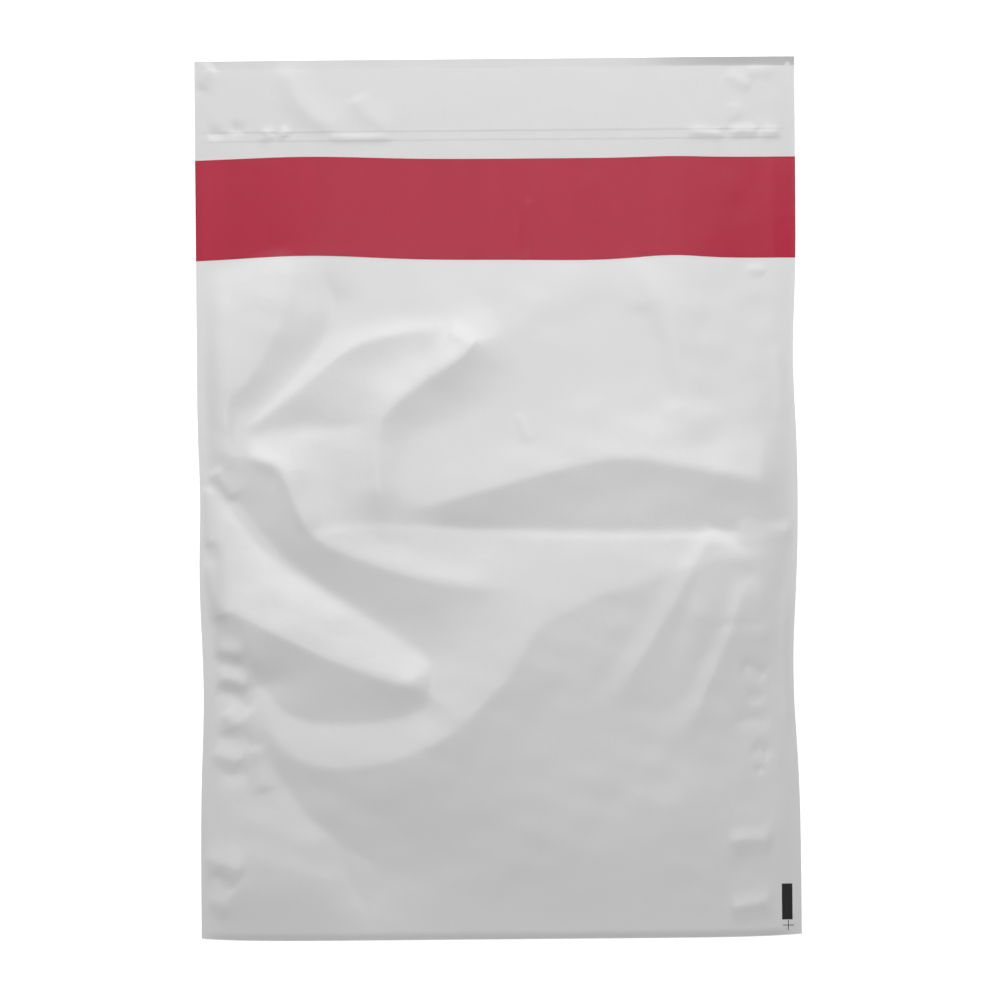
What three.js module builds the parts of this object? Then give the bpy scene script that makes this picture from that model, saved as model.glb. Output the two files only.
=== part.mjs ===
// Tamper-evident deposit bag of polyethylene film, lying flat on its back.
// Millimetres, +Z up, +Y towards the mouth, +X to the right, origin under the middle of the bag.
import * as THREE from "three";
import { mergeVertices } from "three/addons/utils/BufferGeometryUtils.js";

// Pouch
const bagWidth = 300;
const bagHeight = 440; // bottom fold to the edge of the back lip
const frontFilm = 0.3; // the plies of the lips, drawn thicker than film so that they stay walls
const backFilm = 0.4;
const weldBond = 0.1; // the fused layer between the plies at the side welds and at the bottom fold
const bodyLoft = 2.3; // how high the front panel lies between its welds, without its folds
const sideReach = 60; // the front panel rises to its loft over this width
const foldReach = 70; // and over this height above the bottom fold
const weldFade = 7; // its folds and puckers fade over this width before the side edges
const bottomFade = 28; // and over this height above the bottom fold
const cornerLift = 1.6; // the bottom corners are drawn up by this
const cornerReach = 14;

// Lips and mouth
const lipStep = 4.5; // the back lip stands above the front lip by this
const sideWeld = 12; // each weld closes the mouth from the side edge to here
const lipLoft = 1.7; // how high the inner face of the back lip lies
const mouthDepth = 40; // from the edge of the front lip down to where the plies lie together
const clearance = 0.2; // between the closure strips, and from them to the lips

// Closure strips between the lips, which show through the front lip as two fine steps
const linerWidth = 33;
const linerMargin = 2.5; // from the edge of the front lip down to the liner
const linerThickness = 0.15;
const adhesiveWidth = 26.5;
const adhesiveMargin = 4.5;
const adhesiveThickness = 0.15;
const stripSideGap = 2;
const stepWidth = 1.2; // each step is this wide

// Red security tape
const tapeWidth = 50.5;
const tapeMargin = 50; // from the edge of the back lip down to the tape
const tapeThickness = 0.2;
const tapeGap = 0.1;
const tapeCalm = 0.3; // the share of the folds that goes on under the tape
const calmReach = 15; // and the height over which they fall to it

// The tape's shifts, the folds and the edge pulls below are drawn from the middle of a bag 300 wide,
// and spread with the bag.
const drawingUnit = bagWidth / 300;

// The tape was laid by hand, so its lower and upper edge shift along the bag around places across it.
const tapeShifts = [
  { at: -95, reach: 45, low: 2.8, high: 1.8 },
  { at: 40, reach: 25, low: -0.5, high: 0 },
  { at: 88, reach: 20, low: 1.6, high: 0.6 },
];

// Puckers along the side welds
const puckerHeight = 0.7;
const puckerSpacing = 19;
const puckerInset = 12; // their middle lies this far inside the side edge
const puckerReach = 9;
const puckerTop = 170; // they start this far above the bottom fold
const puckerFade = 40;

// Spacing of the points that carry the film's shape
const columnPitch = 7;
const bodyPitch = 6.5;
const lipPitch = 12.5;

// Folds of the front panel, each with its name, height, left and right width and the points of its crest.
// A fold rises or sinks to its height along the crest and slopes back over twice the width on each side,
// as seen along the crest.
const foldSteps = 24; // straight runs in each crest
const foldEnds = 0.2; // the height comes and goes over this share of the crest at its ends
const crestRadius = 1.5;
const folds = [
  fold("dome edge", 1.3, 26, 13, [-168, 108], [-122, 116], [-94, 107], [-83, 90], [-84, 72]),
  fold("dome", 0.6, 9, 9, [-112, 118], [-119, 98], [-126, 76]),
  fold("dome valley", -1.8, 9, 24, [-62, 104], [-84, 80], [-115, 50], [-133, 33]),
  fold("star rib", 1.4, 7, 8, [-135, 28], [-112, 45], [-81, 70], [-61, 80], [-23, 86]),
  fold("star valley", -1.5, 14, 14, [-136, 32], [-109, 35], [-51, 39]),
  fold("panel rib", 3.4, 14, 17, [4, 87], [-20, 70], [-49, 50], [-60, 34], [-60, 8], [-55, -23]),
  fold("upper swell", 1.2, 40, 30, [60, 138], [12, 86], [-38, 67]),
  fold("crown", 0.8, 14, 11, [60, 129], [84, 93], [94, 56], [97, 24]),
  fold("crown valley", -0.6, 7, 14, [70, 99], [80, 66], [75, 39]),
  fold("shoulder", 2.8, 24, 15, [-52, -8], [-9, 4], [55, 20], [98, 15], [157, 2]),
  fold("half fold", -1.6, 16, 18, [-49, -13], [30, -16], [148, -17], [186, -17]),
  fold(
    "half fold line", -0.4, 5, 2,
    [-100, -24], [-94, -16], [-80, -12], [-50, -12], [20, -16], [148, -17], [186, -17],
  ),
  fold("left swell", 2.8, 28, 24, [-151, 120], [-142, -7], [-118, -94]),
  fold(
    "slack shoulder", 2.3, 15, 13,
    [-158, 27], [-120, 21], [-108, 14], [-98, -10], [-87, -22], [-60, -33], [-29, -41], [41, -49],
  ),
  fold(
    "slack valley", -2, 14, 13,
    [-166, 22], [-143, 8], [-120, -18], [-106, -32], [-82, -48], [-54, -66], [-36, -79], [-31, -92],
  ),
  fold("finger valley", -1.2, 18, 9, [-178, 29], [-143, 8], [-120, -18], [-72, -55]),
  fold("slack fold", 2.5, 16, 12, [-147, -53], [-126, -59], [-91, -77], [-54, -90], [-34, -95]),
  fold("under valley", -1.3, 12, 10, [-132, -74], [-108, -105], [-82, -112], [-46, -108], [-33, -98]),
  fold(
    "bowl rim", 1.8, 14, 30,
    [-124, -89], [-112, -122], [-92, -133], [-62, -133], [-23, -116], [10, -81], [26, -41],
  ),
  fold("belly", 3.6, 70, 60, [-60, -165], [-12, -95], [30, -58], [100, -34], [181, -25]),
  fold("right swell", 1.4, 24, 24, [104, -60], [128, -66], [160, -72]),
  fold("right rib", 1.2, 8, 5, [126, -17], [110, -19], [101, -28], [73, -69], [50, -106]),
  fold("outer rib", 1.2, 9, 4, [132, -24], [119, -57], [112, -70], [94, -118]),
  fold("toe swell", 1.8, 40, 40, [-155, -69], [-129, -165], [-107, -230]),
  fold("toe valley", -2.4, 30, 14, [-130, -107], [-100, -152], [-80, -173], [-69, -197], [-64, -242]),
];

function fold(name, height, left, right, ...points) {
  const crest = new THREE.SplineCurve(points.map(([x, y]) => new THREE.Vector2(x, y)));
  const path = crest.getPoints(foldSteps).map((point) => point.multiplyScalar(drawingUnit));
  return { name, height: height * drawingUnit, left: left * drawingUnit, right: right * drawingUnit, path };
}

// The side edges are drawn in where folds gather the film.
const edgePulls = [
  { side: -1, at: -96, depth: 2, reach: 42 },
  { side: -1, at: 0, depth: 1, reach: 28 },
  { side: 1, at: 70, depth: 1.9, reach: 36 },
  { side: 1, at: -86, depth: 3, reach: 46 },
];
const pullPower = 4; // how quickly the pull fades towards the middle

// Places that follow from the sizes
const halfWidth = bagWidth / 2;
const halfHeight = bagHeight / 2;
const mouthHalf = halfWidth - sideWeld;
const stripHalf = mouthHalf - stripSideGap;
const frontLipEdge = halfHeight - lipStep;
const mouthBottom = frontLipEdge - mouthDepth;
const linerTop = frontLipEdge - linerMargin;
const linerBottom = linerTop - linerWidth;
const adhesiveTop = frontLipEdge - adhesiveMargin;
const adhesiveBottom = adhesiveTop - adhesiveWidth;
const tapeTop = halfHeight - tapeMargin;
const tapeBottom = tapeTop - tapeWidth;
const weldThickness = backFilm + weldBond + frontFilm;

const { clamp, lerp, smoothstep } = THREE.MathUtils;

// The share of a fold's height at a point of the panel
function foldShare({ path, left, right }, s, t) {
  let nearest = Infinity;
  let side = 0;
  let along = 0;
  for (let k = 0; k < foldSteps; k++) {
    const start = path[k];
    const runX = path[k + 1].x - start.x;
    const runY = path[k + 1].y - start.y;
    const dot = (s - start.x) * runX + (t - start.y) * runY;
    const part = clamp(dot / (runX * runX + runY * runY), 0, 1);
    const offX = s - start.x - part * runX;
    const offY = t - start.y - part * runY;
    const distance = Math.hypot(offX, offY);
    if (distance < nearest) {
      nearest = distance;
      side = runX * offY - runY * offX;
      along = (k + part) / foldSteps;
    }
  }
  const inside = smoothstep(Math.min(along, 1 - along), 0, foldEnds);
  const width = lerp((left + right) / 2, side > 0 ? left : right, inside);
  const offCrest = Math.hypot(nearest, crestRadius) - crestRadius;
  const flank = Math.max(1 - offCrest / (2 * width), 0);
  return flank * flank * inside;
}

// The summed height of the folds
function relief(s, t) {
  let height = 0;
  for (const each of folds) height += each.height * foldShare(each, s, t);
  return height * lerp(1, tapeCalm, smoothstep(t, tapeBottom, tapeBottom + calmReach));
}

// Short ripples across the side welds, in the lower half of the bag
function pucker(s, t) {
  const off = (halfWidth - Math.abs(s) - puckerInset) / puckerReach;
  const low = 1 - smoothstep(t + halfHeight, puckerTop, puckerTop + puckerFade);
  const ripple = Math.cos((2 * Math.PI * t) / puckerSpacing + Math.sign(s));
  return puckerHeight * ripple * low * Math.exp(-off * off);
}

// How far the plies have parted at a point, from none at the welds and the fold to all in the middle
function parting(s, t) {
  return smoothstep(halfWidth - Math.abs(s), 0, sideReach) * smoothstep(t + halfHeight, 0, foldReach);
}

// The share of folds and puckers that the welds and the bottom fold leave
function slack(s, t) {
  return smoothstep(halfWidth - Math.abs(s), 0, weldFade) * smoothstep(t + halfHeight, 0, bottomFade);
}

// A step of the film over the lower edge of a strip
const stepUp = (t, edge, height) => height * smoothstep(t, edge - stepWidth, edge);
const adhesiveStep = (t) => stepUp(t, adhesiveBottom, adhesiveThickness + clearance);
const linerStep = (t) => stepUp(t, linerBottom, linerThickness + clearance);

// Height of the front panel's outer face above the surface that the bag lies on, without the strips' steps
function panelHeight(s, t) {
  const lip = lipLoft + clearance + frontFilm;
  const loft = lerp(bodyLoft, lip, smoothstep(t, tapeBottom, mouthBottom));
  const height = lerp(weldThickness, loft, parting(s, t)) + slack(s, t) * (relief(s, t) + pucker(s, t));
  return Math.max(height, weldThickness);
}

// The side welds hold the lips together, and between them the lips are apart.
const lipParting = (s) => smoothstep(halfWidth - Math.abs(s), 0, sideWeld);
const frontOuter = (s, t) => panelHeight(s, t) + (linerStep(t) + adhesiveStep(t)) * lipParting(s);
const frontInner = (s, t) => frontOuter(s, t) - frontFilm;
const backInner = (s, t) => panelHeight(s, t) - frontFilm - lerp(weldBond, clearance, lipParting(s));
const ground = () => 0;

// Where a point of the flat panel lies, with the edges drawn in
function drape(s, t, height) {
  let pull = 0;
  for (const { side, at, depth, reach } of edgePulls) {
    const off = (t / drawingUnit - at) / reach;
    if (s * side > 0) pull += drawingUnit * depth * Math.exp(-off * off);
  }
  const out = Math.abs(s) / halfWidth;
  const lift = cornerLift * Math.pow(out, 2 * pullPower) * Math.exp(-(t + halfHeight) / cornerReach);
  return [s - Math.sign(s) * pull * Math.pow(out, pullPower), t + lift, height];
}

// Evenly spaced stations through a list of lines that must be among them
function stations(lines, pitch) {
  const list = [lines[0]];
  for (let k = 1; k < lines.length; k++) {
    const from = lines[k - 1];
    const count = Math.max(1, Math.round((lines[k] - from) / pitch));
    for (let step = 1; step < count; step++) list.push(lerp(from, lines[k], step / count));
    list.push(lines[k]);
  }
  return list;
}

const columns = stations([-halfWidth, -mouthHalf, -stripHalf, stripHalf, mouthHalf, halfWidth], columnPitch);
const bodyRows = stations([-halfHeight, tapeBottom], bodyPitch);
const linerRows = [linerBottom - stepWidth, linerBottom];
const adhesiveRows = [adhesiveBottom - stepWidth, adhesiveBottom, adhesiveTop];
const lipRows = [mouthBottom, ...linerRows, ...adhesiveRows, linerTop, frontLipEdge, halfHeight];
const rows = [...bodyRows.slice(0, -1), ...stations([tapeBottom, tapeTop, ...lipRows], lipPitch)];
const within = (list, low, high) => list.filter((value) => value >= low && value <= high);

// Where a point of a straight tape lies along the bag as it was laid
function tapeCourse(s, t) {
  const share = (t - tapeBottom) / tapeWidth;
  let laid = t;
  for (const { at, reach, low, high } of tapeShifts) {
    const off = (s / drawingUnit - at) / reach;
    laid += drawingUnit * lerp(low, high, share) * Math.exp(-off * off);
  }
  return laid;
}

// Collects the patches and walls of one closed surface, which may follow a course of its own along the bag
class Skin {
  points = [];

  constructor(course = (s, t) => t) {
    this.course = course;
  }

  place([s, t], heightOf) {
    const laid = this.course(s, t);
    return drape(s, laid, heightOf(s, laid));
  }

  quad(a, b, c, d) {
    this.points.push(...a, ...b, ...c, ...a, ...c, ...d);
  }

  // A patch of film over a grid, facing up or down
  patch(columnList, rowList, heightOf, facesUp = true) {
    const lines = rowList.map((t) => along(columnList, t).map((at) => this.place(at, heightOf)));
    for (let j = 1; j < rowList.length; j++) {
      for (let i = 1; i < columnList.length; i++) {
        const [lowLeft, lowRight] = [lines[j - 1][i - 1], lines[j - 1][i]];
        const [highLeft, highRight] = [lines[j][i - 1], lines[j][i]];
        if (facesUp) this.quad(lowLeft, lowRight, highRight, highLeft);
        else this.quad(lowLeft, highLeft, highRight, lowRight);
      }
    }
  }

  // A standing wall along a path, in tiers between the heights given, facing right of the way it runs
  wall(path, ...heights) {
    for (let k = 1; k < path.length; k++) {
      const [from, to] = [path[k - 1], path[k]];
      for (let tier = 1; tier < heights.length; tier++) {
        const [low, high] = [heights[tier - 1], heights[tier]];
        this.quad(this.place(from, low), this.place(to, low), this.place(to, high), this.place(from, high));
      }
    }
  }

  // The flat underside: a ladder between the side edges, with a fan of triangles at each end
  base(columnList, rowList) {
    const [left, right] = [columnList[0], columnList.at(-1)];
    const middleRows = rowList.slice(1, -1);
    this.patch([left, right], middleRows, ground, false);
    const fan = (pivot, path) => {
      for (let k = 1; k < path.length; k++) {
        for (const at of [pivot, path[k], path[k - 1]]) this.points.push(...this.place(at, ground));
      }
    };
    const [low, high] = [middleRows[0], middleRows.at(-1)];
    fan([left, low], [...along(columnList, rowList[0]), [right, low]]);
    fan([left, high], [[right, high], ...along(columnList, rowList.at(-1)).reverse()]);
  }

  geometry() {
    const loose = new THREE.BufferGeometry();
    loose.setAttribute("position", new THREE.Float32BufferAttribute(this.points, 3));
    const geometry = mergeVertices(loose);
    geometry.computeVertexNormals();
    return geometry;
  }
}

const along = (columnList, t) => columnList.map((s) => [s, t]);
const upward = (s, rowList) => rowList.map((t) => [s, t]);

// Counter-clockwise path round a grid, closed on its first point
function rim(columnList, rowList) {
  const [left, right] = [columnList[0], columnList.at(-1)];
  const [low, high] = [rowList[0], rowList.at(-1)];
  return [
    ...along(columnList, low).slice(0, -1),
    ...upward(right, rowList).slice(0, -1),
    ...along(columnList, high).reverse().slice(0, -1),
    ...upward(left, rowList).reverse(),
  ];
}

// The folded and welded film: one solid, with the mouth open between its lips and the front lip cut short
function pouchGeometry() {
  const skin = new Skin();
  const frontRows = within(rows, -halfHeight, frontLipEdge);
  const stepRows = within(rows, frontLipEdge, halfHeight);
  const mouthColumns = within(columns, -mouthHalf, mouthHalf);
  const mouthRows = within(rows, mouthBottom, frontLipEdge);
  skin.patch(columns, frontRows, frontOuter);
  skin.patch(columns, stepRows, backInner);
  skin.base(columns, rows);
  skin.wall(rim(columns, rows), ground, backInner);

  // The edges of the front ply, open above the mouth and closed by the welds on both sides of it
  const foldToLip = [...upward(-halfWidth, frontRows).reverse(), ...along(columns, -halfHeight).slice(1, -1)];
  skin.wall([...foldToLip, ...upward(halfWidth, frontRows)], backInner, frontInner, frontOuter);
  const leftWeld = within(columns, -halfWidth, -mouthHalf);
  const rightWeld = within(columns, mouthHalf, halfWidth);
  for (const weld of [leftWeld, rightWeld]) {
    skin.wall(along(weld, frontLipEdge).reverse(), backInner, frontInner, frontOuter);
  }
  skin.wall(along(mouthColumns, frontLipEdge).reverse(), frontInner, frontOuter);

  // The mouth
  skin.patch(mouthColumns, mouthRows, backInner);
  skin.patch(mouthColumns, mouthRows, frontInner, false);
  skin.wall(along(mouthColumns, mouthBottom).reverse(), backInner, frontInner);
  skin.wall(upward(-mouthHalf, mouthRows), backInner, frontInner);
  skin.wall(upward(mouthHalf, mouthRows).reverse(), backInner, frontInner);
  return skin.geometry();
}

// A thin strip that follows the film, between two heights
function stripGeometry(columnList, rowList, underOf, thickness, course) {
  const skin = new Skin(course);
  const overOf = (s, t) => underOf(s, t) + thickness;
  skin.patch(columnList, rowList, overOf);
  skin.patch(columnList, rowList, underOf, false);
  skin.wall(rim(columnList, rowList), underOf, overOf);
  return skin.geometry();
}

function piece(name, geometry, colour, roughness) {
  const material = new THREE.MeshStandardMaterial({ color: colour, roughness, metalness: 0 });
  const mesh = new THREE.Mesh(geometry, material);
  mesh.name = name;
  return mesh;
}

function adhesiveStrip() {
  const place = (s, t) => backInner(s, t) + clearance;
  const stripRows = within(rows, adhesiveBottom, adhesiveTop);
  const geometry = stripGeometry(within(columns, -stripHalf, stripHalf), stripRows, place, adhesiveThickness);
  return piece("adhesive_strip", geometry, "#cfc7a8", 0.5);
}

function releaseLiner() {
  const place = (s, t) => backInner(s, t) + clearance + adhesiveStep(t);
  const stripRows = within(rows, linerBottom, linerTop);
  const geometry = stripGeometry(within(columns, -stripHalf, stripHalf), stripRows, place, linerThickness);
  return piece("release_liner", geometry, "#e9e7e0", 0.6);
}

function securityTape() {
  const place = (s, t) => frontOuter(s, t) + tapeGap;
  const tapeRows = within(rows, tapeBottom, tapeTop);
  const geometry = stripGeometry(columns, tapeRows, place, tapeThickness, tapeCourse);
  return piece("security_tape", geometry, "#b4374b", 0.4);
}

const bag = new THREE.Group();
bag.add(piece("film_pouch", pouchGeometry(), "#d9d9d8", 0.4));
bag.add(adhesiveStrip(), releaseLiner(), securityTape());

export default bag;
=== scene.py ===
"""Tamper-evident deposit bag: creased white film, closure strips between its lips and a red security tape.

The bag lies on its back. A place on its flat panel is written as s, to the right, and t, towards the mouth,
from the middle of the bag. Sizes are in metres, and the tables of creases are in millimetres.
"""

import math
from typing import NamedTuple

import bpy
import numpy as np
from bpy.props import FloatProperty, FloatVectorProperty, PointerProperty, StringProperty
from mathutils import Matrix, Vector
from mathutils.geometry import delaunay_2d_cdt


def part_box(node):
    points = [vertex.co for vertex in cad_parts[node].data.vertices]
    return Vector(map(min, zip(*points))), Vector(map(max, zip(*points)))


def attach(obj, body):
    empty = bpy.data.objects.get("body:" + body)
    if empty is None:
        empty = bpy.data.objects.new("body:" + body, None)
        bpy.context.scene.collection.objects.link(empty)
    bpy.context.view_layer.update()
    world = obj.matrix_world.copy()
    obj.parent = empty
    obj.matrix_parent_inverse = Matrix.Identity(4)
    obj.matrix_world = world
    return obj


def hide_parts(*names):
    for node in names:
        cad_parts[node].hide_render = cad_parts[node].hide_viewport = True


bl_info = {
    "name": "Deposit bag",
    "version": (1, 0, 0),
    "blender": (4, 5, 0),
    "location": "View3D > Sidebar > Deposit bag",
    "description": "Models a creased film deposit bag with its closure strips, security tape and stage",
    "category": "Object",
}

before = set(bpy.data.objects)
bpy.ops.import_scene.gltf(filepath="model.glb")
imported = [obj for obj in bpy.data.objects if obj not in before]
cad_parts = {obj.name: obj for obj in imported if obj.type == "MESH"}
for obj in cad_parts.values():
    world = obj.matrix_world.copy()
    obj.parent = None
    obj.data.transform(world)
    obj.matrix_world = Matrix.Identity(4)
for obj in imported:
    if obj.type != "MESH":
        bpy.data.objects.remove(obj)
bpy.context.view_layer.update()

MM = 0.001
BODY = "root"

# Places on the panel that the solids give
POUCH_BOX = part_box("film_pouch")
LINER_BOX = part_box("release_liner")
ADHESIVE_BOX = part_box("adhesive_strip")
HALF_WIDTH = POUCH_BOX[1].x
HALF_HEIGHT = POUCH_BOX[1].y
STRIP_HALF = LINER_BOX[1].x

# Spacing of the points that carry the film's shape
FILM_PITCH = 1.5 * MM
SEAM_PITCH = 0.3 * MM
UNDERSIDE_PITCH = 9 * MM
UNDERSIDE_MARGIN = 4 * MM
MERGE = 0.002 * MM
NET_MERGE = 1e-7


class Crease(NamedTuple):
    """A line along which the film rises or sinks, fading over its left and right width, in millimetres."""

    name: str
    height: float
    left: float
    right: float
    line: tuple


# The main folds of the front panel: crests stand up and valleys sink
FOLDS = (
    Crease("dome", 2.2, 16, 26, ((-108, 128), (-105, 108), (-109, 88), (-124, 62), (-145, 37))),
    Crease("dome valley", -1.8, 9, 22, ((-98, 132), (-82, 100), (-90, 75), (-115, 50), (-133, 33))),
    Crease("star rib", 1.4, 7, 8, ((-135, 28), (-112, 45), (-81, 70), (-61, 80), (-23, 86))),
    Crease("star valley", -1.5, 14, 14, ((-136, 32), (-109, 35), (-51, 39))),
    Crease("panel rib", 3.4, 14, 17, ((4, 87), (-20, 70), (-49, 50), (-60, 34), (-60, 8), (-55, -23))),
    Crease("upper swell", 1.2, 40, 30, ((60, 138), (12, 86), (-38, 67))),
    Crease("crown", 1.0, 14, 11, ((60, 129), (84, 93), (94, 56), (97, 24))),
    Crease("crown valley", -0.5, 8, 14, ((72, 98), (80, 72), (89, 43))),
    Crease("shoulder", 2.8, 24, 15, ((-52, -8), (-9, 4), (55, 20), (98, 15), (157, 2))),
    Crease("half fold", -1.6, 16, 18, ((-49, -13), (30, -16), (148, -17), (186, -17))),
    Crease(
        "half fold line", -0.28, 5, 2,
        ((-100, -24), (-94, -16), (-80, -12), (-50, -12), (20, -16), (148, -17), (186, -17)),
    ),
    Crease("left swell", 2.8, 28, 24, ((-151, 120), (-142, -7), (-118, -94))),
    Crease(
        "slack shoulder", 2.3, 15, 13,
        ((-158, 27), (-120, 21), (-108, 14), (-98, -10), (-87, -22), (-60, -33), (-29, -41), (41, -49)),
    ),
    Crease(
        "slack valley", -2.0, 14, 13,
        ((-166, 22), (-143, 8), (-120, -18), (-106, -32), (-82, -48), (-54, -66), (-36, -79), (-31, -92)),
    ),
    Crease("finger valley", -1.2, 18, 9, ((-178, 29), (-143, 8), (-120, -18), (-72, -55))),
    Crease("slack fold", 2.5, 16, 12, ((-147, -53), (-126, -59), (-91, -77), (-54, -90), (-34, -95))),
    Crease("under valley", -1.3, 12, 10, ((-132, -74), (-108, -105), (-82, -112), (-46, -108), (-33, -98))),
    Crease(
        "bowl rim", 1.8, 14, 30,
        ((-124, -89), (-112, -122), (-92, -133), (-62, -133), (-23, -116), (10, -81), (26, -41)),
    ),
    Crease("belly", 3.6, 70, 60, ((-60, -165), (-12, -95), (30, -58), (100, -34), (181, -25))),
    Crease("right swell", 1.1, 24, 24, ((92, -56), (128, -66), (164, -72))),
    Crease("right rib", 1.0, 14, 5, ((109, -15), (101, -29), (81, -64), (56, -104))),
    Crease("outer rib", 0.9, 11, 4, ((127, -39), (121, -54), (116, -69), (105, -94), (92, -124))),
    Crease("toe swell", 2.6, 36, 34, ((-185, -178), (-126, -210), (-84, -244))),
    Crease("toe valley", -2.4, 30, 18, ((-130, -107), (-100, -152), (-80, -173), (-69, -197), (-64, -242))),
)

# Small creases of the panel and puckers beside the side welds
WRINKLES = (
    Crease("under tape glint", 0.35, 1.5, 1.5, ((126, 115), (130, 113), (134, 114))),
    Crease("small dent", 0.4, 1.5, 1.5, ((10, 43), (13, 36), (15, 28))),
    Crease("rib tip", 0.8, 4, 4, ((-24, 84), (-17, 81), (-10, 76))),
    Crease("slack rim", 0.5, 4, 3, ((-128, 23), (-112, 17), (-105, 8), (-98, -8), (-90, -19))),
    Crease("edge glint", 0.8, 4, 3, ((-143, 16), (-138, 9), (-132, 1))),
    Crease("left edge", 0.9, 4, 3, ((-147, 8), (-146, -8), (-145, -24))),
    Crease("left edge", 0.8, 5, 5, ((-146, -29), (-142, -49), (-138, -59))),
    Crease("left pucker", 0.8, 4, 4, ((-143, -73), (-136, -75), (-129, -76))),
    Crease("left pucker", -0.45, 4, 4, ((-144, -80), (-135, -81), (-128, -84))),
    Crease("left pucker", 0.8, 4, 3, ((-143, -88), (-134, -90), (-126, -93))),
    Crease("left pucker", -0.65, 5, 4, ((-143, -95), (-135, -97), (-124, -105))),
    Crease("left pucker", 0.55, 3, 4, ((-139, -105), (-136, -109), (-133, -114))),
    Crease("left pucker", -0.55, 4, 5, ((-142, -117), (-133, -119), (-125, -117))),
    Crease("left pucker", 0.7, 4, 4, ((-145, -126), (-137, -128), (-130, -131))),
    Crease("left pucker", -0.45, 4, 4, ((-141, -136), (-134, -137), (-126, -135))),
    Crease("left pucker end", 0.5, 4, 4, ((-123, -122), (-121, -133), (-118, -146))),
    Crease("left pucker", 0.8, 6, 7, ((-149, -178), (-140, -181), (-128, -185))),
    Crease("left pucker", -0.6, 4, 4, ((-144, -186), (-139, -190), (-133, -195))),
    Crease("left pucker", 0.45, 4, 4, ((-146, -199), (-141, -202), (-135, -204))),
    Crease("right pucker", -0.3, 3, 3, ((110, -63), (122, -64), (136, -63))),
    Crease("right pucker", -0.5, 4, 3, ((122, -84), (129, -86), (135, -90))),
    Crease("right pucker", -0.35, 3, 3, ((124, -100), (129, -100), (134, -101))),
    Crease("right pucker", -0.3, 3, 3, ((117, -113), (126, -111), (136, -112))),
    Crease("right pucker", -0.45, 4, 3, ((127, -125), (131, -127), (136, -128))),
    Crease("right pucker", -0.3, 2, 2, ((128, -136), (132, -137))),
    Crease("right pucker", 0.8, 4, 5, ((114, -173), (125, -171), (136, -172))),
    Crease("right pucker", 0.7, 4, 5, ((114, -206), (125, -204), (136, -202))),
    Crease("right edge", 0.3, 2.5, 2.5, ((141, 76), (143, 58), (144, 38))),
    Crease("half fold end", 0.7, 3, 6, ((118, -16), (134, -17), (148, -17))),
    Crease("right edge", 0.5, 3, 4, ((146, -42), (145, -80), (146, -120))),
)

# Small creases of the lips and of the film under the tape
LIP_WRINKLES = (
    Crease("lip streak", 0.7, 8, 5, ((-105, 219), (-102, 207), (-96, 197), (-89, 190), (-74, 183))),
    Crease("lip streak end", 0.45, 6, 4, ((-70, 202), (-66, 195), (-60, 190), (-50, 183))),
    Crease("lip corner", 0.9, 4, 4, ((-149, 208), (-145, 213), (-141, 217))),
    Crease("seam dent", -0.5, 2, 2, ((-143, 183), (-139, 184), (-136, 185))),
    Crease("seam dent", -0.45, 2, 2, ((-133, 186), (-129, 186), (-126, 185))),
    Crease("seam bead", 0.55, 2.5, 2.5, ((-116, 184), (-111, 182))),
    Crease("seam bead", 0.55, 2, 2, ((-107, 185), (-104, 182))),
    Crease("seam bead", 0.35, 1.5, 1.5, ((-84, 181), (-66, 181), (-50, 181))),
    Crease("seam bead", 0.5, 2, 2, ((96, 183), (107, 182), (114, 181))),
    Crease("seam bead", 0.6, 2, 2, ((117, 182), (125, 183), (131, 182))),
    Crease("seam bead", 0.5, 2, 2, ((133, 184), (137, 182), (142, 183))),
    Crease("lip fleck", 0.4, 3, 2, ((117, 212), (121, 208), (128, 205))),
    Crease("lip fleck", 0.3, 2, 2, ((118, 197), (120, 193), (119, 188))),
    Crease("lip fleck", 0.3, 2, 2, ((126, 212), (132, 213), (139, 212))),
    Crease("tape streak", 0.25, 2, 2, ((16, 151), (16, 136), (15, 121))),
    Crease("tape streak", 0.2, 2, 2, ((47, 164), (47, 121))),
)

# Steps along a crease, the share of its length over which each end fades, and the round of its top
CREASE_STEPS = 24
CREASE_FADE = 0.2
CREST_RADIUS = 1.5 * MM

# Creases gather the film and draw its side edges in: side, place along the edge, depth and reach, in mm.
# The pull fades inwards by a power of the place across the bag.
EDGE_PULLS = ((-1, -96, 2, 42), (-1, 0, 1, 28), (1, 70, 1.9, 36), (1, -86, 3, 46))
PULL_POWER = 4

# The tape was laid by hand: place across the bag, reach, and shifts of its lower and upper edge, in mm
TAPE_SHIFTS = ((-95, 45, 2.8, 1.8), (40, 25, -0.5, 0), (88, 20, 1.6, 0.6))

# Printed eye mark and register cross: middle and size of each inked box, in millimetres
INK_BOXES = (
    (142.8, -202.4, 5.3, 18.0),
    (143.3, -214.2, 5.4, 0.4),
    (143.3, -214.2, 0.4, 5.0),
)


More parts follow.
